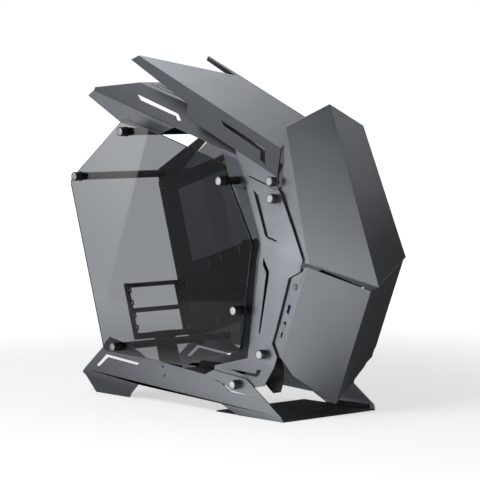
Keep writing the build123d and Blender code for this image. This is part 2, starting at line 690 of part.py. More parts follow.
def thumb_screw(seat, shank_length):
    head = extrude(RegularPolygon(screw_head_radius, round_sides), screw_head_length)
    shank = extrude(RegularPolygon(screw_shank_radius, round_sides), -shank_length)
    return seat.location * (head - cap_block() + shank)


def screw_cap(seat):
    return seat.location * cap_block()


def washer(spot, x_from):
    x_to = x_from + washer_thickness
    hole = rod_along_x(spot, screw_shank_radius + slip, x_from - cut_margin, x_to + cut_margin)
    return rod_along_x(spot, washer_radius, x_from, x_to) - hole


glass_seat_x = -glass_outer_x - washer_thickness
glass_screws = []
glass_screw_caps = []
glass_washers = []
for spot in rod_spots:
    seat = seat_plane(spot, glass_seat_x)
    screw = thumb_screw(seat, -glass_seat_x - rod_outer_x + screw_reach)
    cap = screw_cap(seat)
    outer_washer = washer(spot, glass_seat_x)
    inner_washer = washer(spot, -glass_inner_half_width)
    glass_screws += [screw, mirrored(screw)]
    glass_screw_caps += [cap, mirrored(cap)]
    glass_washers += [outer_washer, inner_washer, mirrored(outer_washer), mirrored(inner_washer)]

# Front bracket: cross plate, side flanges that hold the lower posts, and two legs
front_bracket_half_width = panel_half_width - sheet - seat_gap
front_plate_outline = [
    (-front_bracket_half_width, front_bracket_low_z),
    (-front_bracket_half_width, front_bracket_shoulder_z),
    (-front_bracket_top_half_width, front_bracket_shoulder_z + front_bracket_shoulder_rise),
    (-front_bracket_top_half_width, front_bracket_high_z),
]
front_plate_outline = front_plate_outline + [(-x, z) for x, z in reversed(front_plate_outline)]
front_face = make_face(Polyline(*front_plate_outline, close=True))
front_face = front_face - Pos(0, fan_centre_z) * Circle(fan_opening_radius)
for x in (-fan_hole_spacing / 2, fan_hole_spacing / 2):
    for z in (-fan_hole_spacing / 2, fan_hole_spacing / 2):
        front_face = front_face - Pos(x, fan_centre_z + z) * Circle(fan_hole_radius)
front_face = front_face - Pos(0, supply_centre_z) * Rectangle(supply_opening_width, supply_opening_height)
supply_hole_x = supply_opening_width / 2 + supply_hole_margin
supply_hole_z = supply_opening_height / 2 - supply_hole_drop
for x in (-supply_hole_x, supply_hole_x):
    for z in (-supply_hole_z, supply_hole_z):
        front_face = front_face - Pos(x, supply_centre_z + z) * Circle(supply_hole_radius)
front_bracket = extrude(Plane.XZ.offset(-front_bracket_y) * front_face, sheet)
front_side = side_plate(front_bracket_flange, -front_bracket_half_width, -front_bracket_half_width + sheet)
front_side = front_side - rod_along_x(rod_5_spot, rod_radius + slip, -wing_reach, 0)
front_leg = side_plate(front_leg_outline, front_leg_x, front_leg_x + sheet)
front_bracket = front_bracket + front_side + mirrored(front_side) + front_leg + mirrored(front_leg)

# Screws on the pillars and the rails, each through every sheet that it holds
frame_screws = []
frame_screw_caps = []
for spot in pillar_screw_spots:
    crease = pillar_crease_z + pillar_slope * spot[0]
    lean = upper_side_taper if spot[1] > crease else 0.0
    seat = seat_plane(spot, pillar_face_x(spot), lean)
    bore_face = RegularPolygon(screw_shank_radius + slip, round_sides)
    bore = seat.location * extrude(bore_face, 2 * frame_screw_shank, both=True)
    left_pillar = left_pillar - bore
    left_wing_bracket = left_wing_bracket - bore
    front_upper_panel = front_upper_panel - bore - mirrored(bore)
    front_lower_panel = front_lower_panel - bore - mirrored(bore)
    front_bracket = front_bracket - bore - mirrored(bore)
    screw = thumb_screw(seat, frame_screw_shank)
    cap = screw_cap(seat)
    frame_screws += [screw, mirrored(screw)]
    frame_screw_caps += [cap, mirrored(cap)]
rail_seat = seat_plane(rail_screw_spot, -rail_half_width)
rail_bore = rod_along_x(rail_screw_spot, screw_shank_radius + slip, -wing_reach, 0)
left_rail = left_rail - rail_bore
left_pillar = left_pillar - rail_bore
rail_screw = thumb_screw(rail_seat, frame_screw_shank)
rail_cap = screw_cap(rail_seat)
frame_screws += [rail_screw, mirrored(rail_screw)]
frame_screw_caps += [rail_cap, mirrored(rail_cap)]

# Power button: a head in its bore, a collar behind the flange and a stem over the switch
button_spot = port_spot(0)
collar_from = port_inner_x + button_slip
collar_to = collar_from + button_collar
stem_end = collar_to + button_stem_length
power_button = round_along_x(button_spot, button_radius, port_outer_x - button_rise, collar_to)
power_button = power_button + round_along_x(button_spot, button_collar_radius, collar_from, collar_to)
power_button = power_button + round_along_x(button_spot, button_stem_radius, collar_from, stem_end)

# Sockets between the flange and the port board, which also carries the button's switch
socket_back_x = port_inner_x + socket_depth


def socket(share, width, length):
    outer_width = width + 2 * socket_wall
    outer_length = length + 2 * socket_wall
    shell = port_block(share, outer_width, outer_length, port_inner_x, socket_back_x)
    return shell - port_block(share, width, length, port_inner_x - cut_margin, socket_back_x - socket_wall)


usb_a_socket = socket(port_usb_a, usb_a_width, usb_a_length)
usb_c_socket = socket(1, usb_c_width, usb_c_length)
audio_spot = port_spot(port_audio)
audio_barrel = round_along_x(audio_spot, audio_radius + socket_wall - slip, port_outer_x, socket_back_x)
audio_hole = round_along_x(audio_spot, audio_radius, port_cut_from, socket_back_x - socket_wall)
audio_socket = audio_barrel - audio_hole
port_board_back_x = socket_back_x + port_board_thickness
port_board = port_block(0.5, port_board_width, port_board_length, socket_back_x, port_board_back_x)
switch_from = stem_end + button_travel + button_slip
button_switch = port_block(0, switch_size, switch_size, switch_from, socket_back_x)


pieces = {
    "top_wing": [top_wing],
    "rear_wing": [rear_wing],
    "front_upper_panel": [front_upper_panel],
    "front_lower_panel": [front_lower_panel],
    "left_pillar": [left_pillar],
    "right_pillar": [mirrored(left_pillar)],
    "left_wing_bracket": [left_wing_bracket],
    "right_wing_bracket": [mirrored(left_wing_bracket)],
    "left_rail": [left_rail],
    "right_rail": [mirrored(left_rail)],
    "floor_plate": [floor_plate],
    "rear_floor": [rear_floor],
    "motherboard_tray": [motherboard_tray],
    "board_standoffs": standoffs,
    "slot_bracket": [slot_bracket],
    "support_post": [support_post],
    "tie_rods": tie_rods,
    "front_posts": front_posts,
    "left_glass": [left_glass],
    "right_glass": [mirrored(left_glass)],
    "glass_screws": glass_screws,
    "glass_screw_caps": glass_screw_caps,
    "glass_washers": glass_washers,
    "frame_screws": frame_screws,
    "frame_screw_caps": frame_screw_caps,
    "front_bracket": [front_bracket],
    "power_button": [power_button],
    "button_switch": [button_switch],
    "usb_a_socket": [usb_a_socket],
    "usb_c_socket": [usb_c_socket],
    "audio_socket": [audio_socket],
    "port_board": [port_board],
}

# The whole stands on Z = 0 with its depth centred over the origin
boxes = [solid.bounding_box() for solids in pieces.values() for solid in solids]
low_y = min(box.min.Y for box in boxes)
high_y = max(box.max.Y for box in boxes)
low_z = min(box.min.Z for box in boxes)
stand = Pos(0, -(low_y + high_y) / 2, -low_z)
for name, solids in pieces.items():
    save([stand * solid for solid in solids], name)
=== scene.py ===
from math import cos, pi, radians, sin

import bmesh
import bpy
from mathutils import Matrix, Vector


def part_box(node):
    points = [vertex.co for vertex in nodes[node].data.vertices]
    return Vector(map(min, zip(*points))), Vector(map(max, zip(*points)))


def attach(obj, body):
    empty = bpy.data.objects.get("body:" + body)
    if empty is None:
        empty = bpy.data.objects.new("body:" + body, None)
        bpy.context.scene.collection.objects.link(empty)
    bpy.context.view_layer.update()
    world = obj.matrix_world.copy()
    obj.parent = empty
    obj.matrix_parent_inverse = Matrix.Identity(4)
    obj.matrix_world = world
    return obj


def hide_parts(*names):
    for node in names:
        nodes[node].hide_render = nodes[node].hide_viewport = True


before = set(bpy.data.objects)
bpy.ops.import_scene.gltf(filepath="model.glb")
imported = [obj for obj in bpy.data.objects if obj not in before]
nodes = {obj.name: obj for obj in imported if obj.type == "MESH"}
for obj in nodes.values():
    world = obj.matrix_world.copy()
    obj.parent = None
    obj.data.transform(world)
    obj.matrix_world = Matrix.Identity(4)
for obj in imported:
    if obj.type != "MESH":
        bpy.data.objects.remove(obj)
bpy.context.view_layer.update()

millimetre = 0.001


# Camera: the photograph's own view, 42 degrees to the left of the front and 4 degrees above the level

camera = {
    "eye": (-2.3303, -2.5575, 0.4924),
    "azimuth": 42.222,      # degrees from the front towards the left side
    "elevation": 3.991,     # degrees above the level
    "lens": 170.33,         # mm on the sensor below
    "sensor": 36.0,
    "clip": 200.0,          # metres, past the far end of the floor
}


def addCamera():
    data = bpy.data.cameras.new("photoCamera")
    data.lens = camera["lens"]
    data.sensor_width = camera["sensor"]
    data.clip_end = camera["clip"]
    holder = bpy.data.objects.new("photoCamera", data)
    bpy.context.scene.collection.objects.link(holder)
    turn = radians(camera["azimuth"])
    fall = radians(camera["elevation"])
    look = Vector((sin(turn) * cos(fall), cos(turn) * cos(fall), -sin(fall)))
    holder.location = camera["eye"]
    holder.rotation_euler = look.to_track_quat("-Z", "Y").to_euler()
    bpy.context.scene.camera = holder
    print("camera in place")


# Small helpers for working as by hand

samePlace = 0.000001    # metres: heights closer than this are the same
facing = 0.9            # a normal with more than this of a direction faces that way
rimShare = 0.98         # a corner farther out than this share of the radius is on the rim


def deselectAll():
    if bpy.context.object and bpy.context.object.mode != "OBJECT":
        bpy.ops.object.mode_set(mode="OBJECT")
    bpy.ops.object.select_all(action="DESELECT")


def pickUp(piece):
    deselectAll()
    piece.select_set(True)
    bpy.context.view_layer.objects.active = piece


def editMode(piece):
    pickUp(piece)
    bpy.ops.object.mode_set(mode="EDIT")
    bpy.ops.mesh.select_mode(type="FACE")
    bpy.ops.mesh.select_all(action="DESELECT")


def objectMode():
    bpy.ops.object.mode_set(mode="OBJECT")


def selectFaces(piece, test):
    # faces chosen by their centre and normal, in edit mode
    bpy.ops.mesh.select_mode(type="FACE")
    shape = bmesh.from_edit_mesh(piece.data)
    for face in shape.faces:
        face.select_set(test(face.calc_center_median(), face.normal))
    shape.select_flush_mode()
    bmesh.update_edit_mesh(piece.data)


def selectEdges(piece, test):
    # edges chosen by their two end points, in edit mode
    bpy.ops.mesh.select_mode(type="EDGE")
    shape = bmesh.from_edit_mesh(piece.data)
    for edge in shape.edges:
        edge.select_set(test(edge.verts[0].co, edge.verts[1].co))
    shape.select_flush_mode()
    bmesh.update_edit_mesh(piece.data)


def applyPlace(piece):
    pickUp(piece)
    bpy.ops.object.transform_apply(location=True, rotation=True, scale=True)


def addBevel(piece, width, segments, angle):
    pickUp(piece)
    bevel = piece.modifiers.new("edgeRound", "BEVEL")
    bevel.width = width
    bevel.segments = segments
    bevel.limit_method = "ANGLE"
    bevel.angle_limit = radians(angle)
    bevel.use_clamp_overlap = False
    bevel.miter_outer = "MITER_SHARP"
    bpy.ops.object.modifier_apply(modifier=bevel.name)


def smoothByAngle(piece, angle):
    pickUp(piece)
    bpy.ops.object.shade_smooth_by_angle(angle=radians(angle))
    weigh = piece.modifiers.new("flatFaces", "WEIGHTED_NORMAL")
    weigh.keep_sharp = True
    bpy.ops.object.modifier_apply(modifier=weigh.name)


def joinPieces(pieces, name):
    deselectAll()
    for piece in pieces:
        piece.select_set(True)
    bpy.context.view_layer.objects.active = pieces[0]
    bpy.ops.object.join()
    pieces[0].name = name
    return pieces[0]


def finishPiece(piece, material, body="case", replaced=()):
    piece.data.materials.clear()
    piece.data.materials.append(material)
    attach(piece, body)
    if replaced:
        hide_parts(*replaced)


# Shared node groups: each puts out masks and values that change over the surface

def addNode(tree, kind, values=None, **settings):
    node = tree.nodes.new(kind)
    for key, value in settings.items():
        setattr(node, key, value)
    for key, value in (values or {}).items():
        node.inputs[key].default_value = value
    return node


def newGroup(name, numbers, outputs):
    # numbers is a dictionary of input names with their usual values
    group = bpy.data.node_groups.new(name, "ShaderNodeTree")
    for label, value in numbers.items():
        socket = group.interface.new_socket(label, in_out="INPUT", socket_type="NodeSocketFloat")
        socket.default_value = value
    for label in outputs:
        group.interface.new_socket(label, in_out="OUTPUT", socket_type="NodeSocketFloat")
    start = group.nodes.new("NodeGroupInput")
    end = group.nodes.new("NodeGroupOutput")
    return group, start, end


cloudShare = 0.35       # how much of the tone comes from the broad clouds


def makeGrainGroup():
    # sand-blasted grain: a fine height, and a tone that mixes fine specks with broad clouds
    group, start, end = newGroup("blastGrain", {"Grain per metre": 900.0, "Cloud per metre": 9.0},
                                 ["Height", "Tone"])
    place = addNode(group, "ShaderNodeTexCoord")
    grain = addNode(group, "ShaderNodeTexNoise", {"Detail": 2.0, "Roughness": 0.65})
    cloud = addNode(group, "ShaderNodeTexNoise", {"Detail": 3.0, "Roughness": 0.5})
    both = addNode(group, "ShaderNodeMix", {0: cloudShare}, data_type="FLOAT")
    link = group.links.new
    link(place.outputs["Object"], grain.inputs["Vector"])
    link(place.outputs["Object"], cloud.inputs["Vector"])
    link(start.outputs["Grain per metre"], grain.inputs["Scale"])
    link(start.outputs["Cloud per metre"], cloud.inputs["Scale"])
    link(grain.outputs["Fac"], both.inputs[2])
    link(cloud.outputs["Fac"], both.inputs[3])
    link(grain.outputs["Fac"], end.inputs["Height"])
    link(both.outputs[0], end.inputs["Tone"])
    return group


def makeEdgeHighlightGroup():
    # a mask that is 1 on outer edges and broken up a little in patches, for a painted highlight along the
    # edges
    group, start, end = newGroup("edgeHighlight", {"Width": 0.0008, "Break per metre": 160.0}, ["Mask"])
    rounded = addNode(group, "ShaderNodeBevel", samples=4)
    straight = addNode(group, "ShaderNodeNewGeometry")
    likeness = addNode(group, "ShaderNodeVectorMath", operation="DOT_PRODUCT")
    turned = addNode(group, "ShaderNodeMapRange",
                     {"From Min": 0.999, "From Max": 0.93, "To Min": 0.0, "To Max": 1.0})
    place = addNode(group, "ShaderNodeTexCoord")
    patches = addNode(group, "ShaderNodeTexNoise", {"Detail": 3.0})
    broken = addNode(group, "ShaderNodeMapRange",
                     {"From Min": 0.35, "From Max": 0.65, "To Min": 0.55, "To Max": 1.0})
    mask = addNode(group, "ShaderNodeMath", operation="MULTIPLY")
    link = group.links.new
    link(start.outputs["Width"], rounded.inputs["Radius"])
    link(rounded.outputs["Normal"], likeness.inputs[0])
    link(straight.outputs["Normal"], likeness.inputs[1])
    link(likeness.outputs["Value"], turned.inputs["Value"])
    link(place.outputs["Object"], patches.inputs["Vector"])
    link(start.outputs["Break per metre"], patches.inputs["Scale"])
    link(patches.outputs["Fac"], broken.inputs["Value"])
    link(turned.outputs["Result"], mask.inputs[0])
    link(broken.outputs["Result"], mask.inputs[1])
    link(mask.outputs[0], end.inputs["Mask"])
    return group


def makeHandlingGroup():
    # soft marks from handling: they only change how glossy a place is
    group, start, end = newGroup("handlingMarks", {"Marks per metre": 22.0, "Low": 0.35, "High": 0.45},
                                 ["Roughness"])
    place = addNode(group, "ShaderNodeTexCoord")
    marks = addNode(group, "ShaderNodeTexNoise", {"Detail": 4.0, "Roughness": 0.6, "Distortion": 0.4})
    spread = addNode(group, "ShaderNodeMapRange", {"From Min": 0.3, "From Max": 0.7})
    link = group.links.new
    link(place.outputs["Object"], marks.inputs["Vector"])
    link(start.outputs["Marks per metre"], marks.inputs["Scale"])
    link(marks.outputs["Fac"], spread.inputs["Value"])
    link(start.outputs["Low"], spread.inputs["To Min"])
    link(start.outputs["High"], spread.inputs["To Max"])
    link(spread.outputs["Result"], end.inputs["Roughness"])
    return group


groups = {}


def useGroup(tree, name, values):
    node = tree.nodes.new("ShaderNodeGroup")
    node.node_tree = groups[name]
    for key, value in values.items():
        node.inputs[key].default_value = value
    return node


# Materials

# each finish's edge colour is a painted highlight on its outer edges, mixed in by the edge mask at its share
finishes = {
    "panelMetal": {
        "dark": (0.240, 0.258, 0.281), "light": (0.262, 0.280, 0.305), "edge": (0.42, 0.44, 0.47),
        "metallic": 0.92, "rough": (0.35, 0.42), "bump": 0.10, "grain": 700.0, "edgeHighlightShare": 0.5,
    },
    "frameMetal": {
        "dark": (0.240, 0.258, 0.281), "light": (0.262, 0.280, 0.305), "edge": (0.42, 0.44, 0.47),
        "metallic": 0.92, "rough": (0.33, 0.40), "bump": 0.10, "grain": 700.0, "edgeHighlightShare": 0.5,
    },
    # near black: the colour of the black inner parts, and painted shade where it darkens the floor plate and
    # the wing brackets, which lie in shade
    "blackMetalAndShade": {
        "dark": (0.013, 0.0135, 0.0145), "light": (0.020, 0.021, 0.0225), "edge": (0.06, 0.063, 0.068),
        "metallic": 0.0, "rough": (0.42, 0.55), "bump": 0.15, "grain": 1100.0, "edgeHighlightShare": 0.4,
    },
    "screwBlack": {
        "dark": (0.050, 0.052, 0.057), "light": (0.075, 0.078, 0.085), "edge": (0.20, 0.20, 0.21),
        "metallic": 0.9, "rough": (0.28, 0.36), "bump": 0.05, "grain": 1500.0, "edgeHighlightShare": 0.5,
    },
    "screwGrey": {
        "dark": (0.130, 0.137, 0.148), "light": (0.165, 0.172, 0.185), "edge": (0.36, 0.37, 0.39),
        "metallic": 0.9, "rough": (0.26, 0.34), "bump": 0.05, "grain": 1500.0, "edgeHighlightShare": 0.5,
    },
    "washerBlack": {
        "dark": (0.012, 0.012, 0.012), "light": (0.020, 0.020, 0.020), "edge": (0.03, 0.03, 0.03),
        "metallic": 0.0, "rough": (0.55, 0.7), "bump": 0.1, "grain": 1500.0, "edgeHighlightShare": 0.2,
    },
    "standoffBrass": {
        "dark": (0.40, 0.26, 0.09), "light": (0.55, 0.38, 0.14), "edge": (0.80, 0.62, 0.32),
        "metallic": 1.0, "rough": (0.22, 0.34), "bump": 0.04, "grain": 1500.0, "edgeHighlightShare": 0.6,
    },
    "socketMetal": {
        "dark": (0.40, 0.41, 0.42), "light": (0.52, 0.53, 0.54), "edge": (0.75, 0.75, 0.76),
        "metallic": 1.0, "rough": (0.24, 0.34), "bump": 0.03, "grain": 1500.0, "edgeHighlightShare": 0.5,
    },
    "boardGreen": {
        "dark": (0.010, 0.035, 0.020), "light": (0.016, 0.050, 0.030), "edge": (0.10, 0.12, 0.06),
        "metallic": 0.0, "rough": (0.30, 0.42), "bump": 0.08, "grain": 900.0, "edgeHighlightShare": 0.5,
    },
    "tongueBlue": {
        "dark": (0.010, 0.060, 0.34), "light": (0.016, 0.085, 0.44), "edge": (0.10, 0.22, 0.60),
        "metallic": 0.0, "rough": (0.32, 0.42), "bump": 0.05, "grain": 1500.0, "edgeHighlightShare": 0.3,
    },
    "tongueBlack": {
        "dark": (0.012, 0.012, 0.013), "light": (0.018, 0.018, 0.019), "edge": (0.05, 0.05, 0.05),
        "metallic": 0.0, "rough": (0.38, 0.48), "bump": 0.05, "grain": 1500.0, "edgeHighlightShare": 0.3,
    },
    "contactGold": {
        "dark": (0.62, 0.44, 0.16), "light": (0.75, 0.55, 0.24), "edge": (0.90, 0.75, 0.45),
        "metallic": 1.0, "rough": (0.18, 0.28), "bump": 0.03, "grain": 1500.0, "edgeHighlightShare": 0.5,
    },
}

bumpHeight = 0.0004     # metres between the low and the high places of the grain
materials = {}


def makeFinish(name):
    finish = finishes[name]
    material = bpy.data.materials.new(name)
    material.use_nodes = True
    tree = material.node_tree
    shader = tree.nodes["Principled BSDF"]
    grain = useGroup(tree, "blastGrain", {"Grain per metre": finish["grain"]})
    edges = useGroup(tree, "edgeHighlight", {})
    marks = useGroup(tree, "handlingMarks", {"Low": finish["rough"][0], "High": finish["rough"][1]})
    tones = addNode(tree, "ShaderNodeMix", data_type="RGBA")
    tones.inputs[6].default_value = (*finish["dark"], 1)
    tones.inputs[7].default_value = (*finish["light"], 1)
    # lighter outer edges: a painted highlight
    highlighted = addNode(tree, "ShaderNodeMix", data_type="RGBA")
    highlighted.inputs[7].default_value = (*finish["edge"], 1)
    share = addNode(tree, "ShaderNodeMath", {1: finish["edgeHighlightShare"]}, operation="MULTIPLY")
    bump = addNode(tree, "ShaderNodeBump", {"Strength": finish["bump"], "Distance": bumpHeight})
    link = tree.links.new
    link(grain.outputs["Tone"], tones.inputs[0])
    link(tones.outputs[2], highlighted.inputs[6])
    link(edges.outputs["Mask"], share.inputs[0])
    link(share.outputs[0], highlighted.inputs[0])
    link(highlighted.outputs[2], shader.inputs["Base Color"])
    link(marks.outputs["Roughness"], shader.inputs["Roughness"])
    link(grain.outputs["Height"], bump.inputs["Height"])
    link(bump.outputs["Normal"], shader.inputs["Normal"])
    shader.inputs["Metallic"].default_value = finish["metallic"]
    materials[name] = material


glass = {
    # the right pane is the darker one: its darker tint is painted shade, as both real panes are the same
    # glass
    "tints": {"paneGlass": (0.234, 0.247, 0.262), "paneGlassPaintedShade": (0.090, 0.095, 0.101)},
    "tintSpread": 0.02, "ior": 1.5,
    "smears": {"Marks per metre": 14.0, "Low": 0.0, "High": 0.012},
    "clouds": {"Grain per metre": 30.0, "Cloud per metre": 5.0},
}


def makeGlass(finish):
    material = bpy.data.materials.new(finish)
    material.use_nodes = True
    tree = material.node_tree
    shader = tree.nodes["Principled BSDF"]
    smears = useGroup(tree, "handlingMarks", glass["smears"])
    clouds = useGroup(tree, "blastGrain", glass["clouds"])
    tint = addNode(tree, "ShaderNodeMix", data_type="RGBA")
    for socket, share in ((6, 1 - glass["tintSpread"]), (7, 1 + glass["tintSpread"])):
        tint.inputs[socket].default_value = (*[value * share for value in glass["tints"][finish]], 1)
    link = tree.links.new
    link(clouds.outputs["Tone"], tint.inputs[0])
    link(tint.outputs[2], shader.inputs["Base Color"])
    link(smears.outputs["Roughness"], shader.inputs["Roughness"])
    shader.inputs["IOR"].default_value = glass["ior"]
    shader.inputs["Transmission Weight"].default_value = 1.0
    materials[finish] = material


turned = {
    "dark": (0.44, 0.45, 0.47), "light": (0.60, 0.61, 0.63), "rough": (0.24, 0.34), "rings": 42.0,
    "middle": (0.25, 0.25, 0.0),        # of a cap's end face on its UV map
    "bump": {"Strength": 0.12, "Distance": 0.0002},
}


def makeTurnedSteel():
    # bright end faces with the fine rings that a lathe leaves; the rings follow each cap's own UV map
    material = bpy.data.materials.new("capSteel")
    material.use_nodes = True
    tree = material.node_tree
    shader = tree.nodes["Principled BSDF"]
    place = addNode(tree, "ShaderNodeTexCoord")
    centre = addNode(tree, "ShaderNodeMapping")
    centre.inputs["Location"].default_value = -Vector(turned["middle"])
    rings = addNode(tree, "ShaderNodeTexWave", {"Scale": turned["rings"], "Distortion": 0.0},
                    wave_type="RINGS", rings_direction="Z")
    marks = useGroup(tree, "handlingMarks", {"Low": turned["rough"][0], "High": turned["rough"][1]})
    tones = addNode(tree, "ShaderNodeMix", data_type="RGBA")
    tones.inputs[6].default_value = (*turned["dark"], 1)
    tones.inputs[7].default_value = (*turned["light"], 1)
    bump = addNode(tree, "ShaderNodeBump", turned["bump"])
    link = tree.links.new
    link(place.outputs["UV"], centre.inputs["Vector"])
    link(centre.outputs["Vector"], rings.inputs["Vector"])
    link(rings.outputs["Fac"], tones.inputs[0])
    link(rings.outputs["Fac"], bump.inputs["Height"])
    link(tones.outputs[2], shader.inputs["Base Color"])
    link(marks.outputs["Roughness"], shader.inputs["Roughness"])
    link(bump.outputs["Normal"], shader.inputs["Normal"])
    shader.inputs["Metallic"].default_value = 1.0
    materials["capSteel"] = material


def makeMaterials():
    groups["blastGrain"] = makeGrainGroup()
    groups["edgeHighlight"] = makeEdgeHighlightGroup()
    groups["handlingMarks"] = makeHandlingGroup()
    for name in finishes:
        makeFinish(name)
    for finish in glass["tints"]:
        makeGlass(finish)
    makeTurnedSteel()
    print("materials made:", len(materials))


# Studio: a dim world with soft brighter sides, a pale floor and glowing cards that the metal mirrors

studio = {
    "base": 0.12,
    "backdrop": 1.0,
    "patches": [
        # direction, degrees of the full core, degrees of the faded rim, strength
        {"name": "leftHigh", "way": (-0.64, 0.45, 0.62), "core": 8, "rim": 30, "strength": 0.26},
        {"name": "above", "way": (0.23, 0.32, 0.92), "core": 10, "rim": 40, "strength": 0.30},
        {"name": "rightHigh", "way": (0.90, -0.20, 0.42), "core": 4, "rim": 26, "strength": 0.20},
    ],
}


def addWorld():
    world = bpy.data.worlds.new("studioWorld")
    bpy.context.scene.world = world
    world.use_nodes = True
    tree = world.node_tree
    tree.nodes.clear()
    link = tree.links.new
    place = addNode(tree, "ShaderNodeTexCoord")
    total = addNode(tree, "ShaderNodeValue")
    total.outputs[0].default_value = studio["base"]
    for patch in studio["patches"]:
        closeness = addNode(tree, "ShaderNodeVectorMath", operation="DOT_PRODUCT")
        closeness.inputs[1].default_value = Vector(patch["way"]).normalized()
        ramp = addNode(tree, "ShaderNodeMapRange", {
            "From Min": cos(radians(patch["rim"])), "From Max": cos(radians(patch["core"])),
            "To Min": 0.0, "To Max": patch["strength"]}, interpolation_type="SMOOTHSTEP")
        added = addNode(tree, "ShaderNodeMath", operation="ADD")
        link(place.outputs["Generated"], closeness.inputs[0])
        link(closeness.outputs["Value"], ramp.inputs["Value"])
        link(total.outputs[0], added.inputs[0])
        link(ramp.outputs["Result"], added.inputs[1])
        total = added
    # the camera and whatever looks through a pane see the white backdrop, the bare metal doesn't
    seen = addNode(tree, "ShaderNodeLightPath")
    direct = addNode(tree, "ShaderNodeMath", operation="MAXIMUM")
    choose = addNode(tree, "ShaderNodeMix", data_type="FLOAT")
    choose.inputs[3].default_value = studio["backdrop"]
    light = addNode(tree, "ShaderNodeBackground", {"Color": (1, 1, 1, 1)})
    out = addNode(tree, "ShaderNodeOutputWorld")
    link(seen.outputs["Is Camera Ray"], direct.inputs[0])
    link(seen.outputs["Is Transmission Ray"], direct.inputs[1])
    link(direct.outputs[0], choose.inputs[0])
    link(total.outputs[0], choose.inputs[2])
    link(choose.outputs[0], light.inputs["Strength"])
    link(light.outputs[0], out.inputs["Surface"])


floor = {
    "radius": 90.0, "segments": 96, "colour": (0.86, 0.86, 0.865), "fibreShade": 0.99, "rough": 0.9,
    "fibres": {"Scale": 60.0, "Detail": 3.0},
    # glow for the camera near the case and far from it, before the light that falls on the paper
    "near": 0.59, "far": 0.97, "fade": (0.5, 1.7),
    # glow that the metal mirrors: each ramp runs along (x, y), from a place to a place in metres
    "left": {"along": (1.0, 0.35), "from": (-0.06, -0.22), "strength": (0.02, 1.12)},
    "front": {"along": (0.0, 1.0), "from": (-0.22, -0.46), "strength": (0.22, 0.78)},
    "rear": {"along": (0.0, 1.0), "from": (0.30, 0.85), "strength": (1.0, 0.10)},
    "farLeft": {"along": (1.0, 0.0), "from": (-0.42, -0.80), "strength": (1.0, 0.08)},
    "right": {"along": (1.0, 0.0), "from": (0.04, 0.16), "strength": (1.0, 0.20)},
}


def addRamp(tree, value, start, end, strength):
    change = addNode(tree, "ShaderNodeMapRange", {
        "From Min": start, "From Max": end, "To Min": strength[0], "To Max": strength[1]},
        interpolation_type="SMOOTHSTEP")
    tree.links.new(value, change.inputs["Value"])
    return change.outputs["Result"]


def rampAlong(tree, place, ramp, stretch=(1.0, 1.0)):
    # a soft change of strength along one direction of a flat thing
    along = addNode(tree, "ShaderNodeVectorMath", operation="DOT_PRODUCT")
    along.inputs[1].default_value = (ramp["along"][0] * stretch[0], ramp["along"][1] * stretch[1], 0.0)
    tree.links.new(place, along.inputs[0])
    return addRamp(tree, along.outputs["Value"], *ramp["from"], ramp["strength"])


def combine(tree, first, second, how="MULTIPLY"):
    both = addNode(tree, "ShaderNodeMath", operation=how)
    tree.links.new(first, both.inputs[0])
    tree.links.new(second, both.inputs[1])
    return both.outputs[0]


def addFloor():
    deselectAll()
    bpy.ops.mesh.primitive_circle_add(vertices=floor["segments"], radius=floor["radius"], fill_type="NGON",
                                      location=(0, 0, 0))
    piece = bpy.context.object
    piece.name = "studioFloor"
    material = bpy.data.materials.new("floorPaper")
    material.use_nodes = True
    tree = material.node_tree
    link = tree.links.new
    shader = tree.nodes["Principled BSDF"]
    place = addNode(tree, "ShaderNodeTexCoord")
    fibres = addNode(tree, "ShaderNodeTexNoise", floor["fibres"])
    tones = addNode(tree, "ShaderNodeMix", data_type="RGBA")
    tones.inputs[6].default_value = (*[value * floor["fibreShade"] for value in floor["colour"]], 1)
    tones.inputs[7].default_value = (*floor["colour"], 1)
    # the metal mirrors no lit paper, only the glow below
    seen = addNode(tree, "ShaderNodeLightPath")
    mirrorRay = addNode(tree, "ShaderNodeMath", operation="SUBTRACT", use_clamp=True)
    link(seen.outputs["Is Glossy Ray"], mirrorRay.inputs[0])
    link(seen.outputs["Is Transmission Ray"], mirrorRay.inputs[1])
    unlit = addNode(tree, "ShaderNodeMix", data_type="RGBA")
    unlit.inputs[7].default_value = (0, 0, 0, 1)
    link(place.outputs["Object"], fibres.inputs["Vector"])
    link(fibres.outputs["Fac"], tones.inputs[0])
    link(mirrorRay.outputs[0], unlit.inputs[0])
    link(tones.outputs[2], unlit.inputs[6])
    link(unlit.outputs[2], shader.inputs["Base Color"])
    ramps = {side: rampAlong(tree, place.outputs["Object"], floor[side])
             for side in ("left", "front", "rear", "farLeft", "right")}
    behind = combine(tree, combine(tree, ramps["left"], ramps["rear"]), ramps["farLeft"])
    mirrored = combine(tree, behind, ramps["front"], "MAXIMUM")
    mirrored = combine(tree, mirrored, ramps["right"])
    reach = addNode(tree, "ShaderNodeVectorMath", operation="LENGTH")
    link(place.outputs["Object"], reach.inputs[0])
    direct = addRamp(tree, reach.outputs["Value"], *floor["fade"], (floor["near"], floor["far"]))
    strength = addNode(tree, "ShaderNodeMix", data_type="FLOAT")
    link(mirrorRay.outputs[0], strength.inputs[0])
    link(direct, strength.inputs[2])
    link(mirrored, strength.inputs[3])
    # paper that only scattered light meets adds no glow of its own
    scattered = addNode(tree, "ShaderNodeMath", {0: 1.0}, operation="SUBTRACT")
    link(seen.outputs["Is Diffuse Ray"], scattered.inputs[1])
    glow = addNode(tree, "ShaderNodeEmission", {"Color": (1, 1, 1, 1)})
    link(combine(tree, strength.outputs[0], scattered.outputs[0]), glow.inputs["Strength"])
    both = addNode(tree, "ShaderNodeAddShader")
    link(shader.outputs[0], both.inputs[0])
    link(glow.outputs[0], both.inputs[1])
    link(both.outputs[0], tree.nodes["Material Output"].inputs["Surface"])
    shader.inputs["Roughness"].default_value = floor["rough"]
    shader.inputs["Specular IOR Level"].default_value = 0.0
    piece.data.materials.append(material)


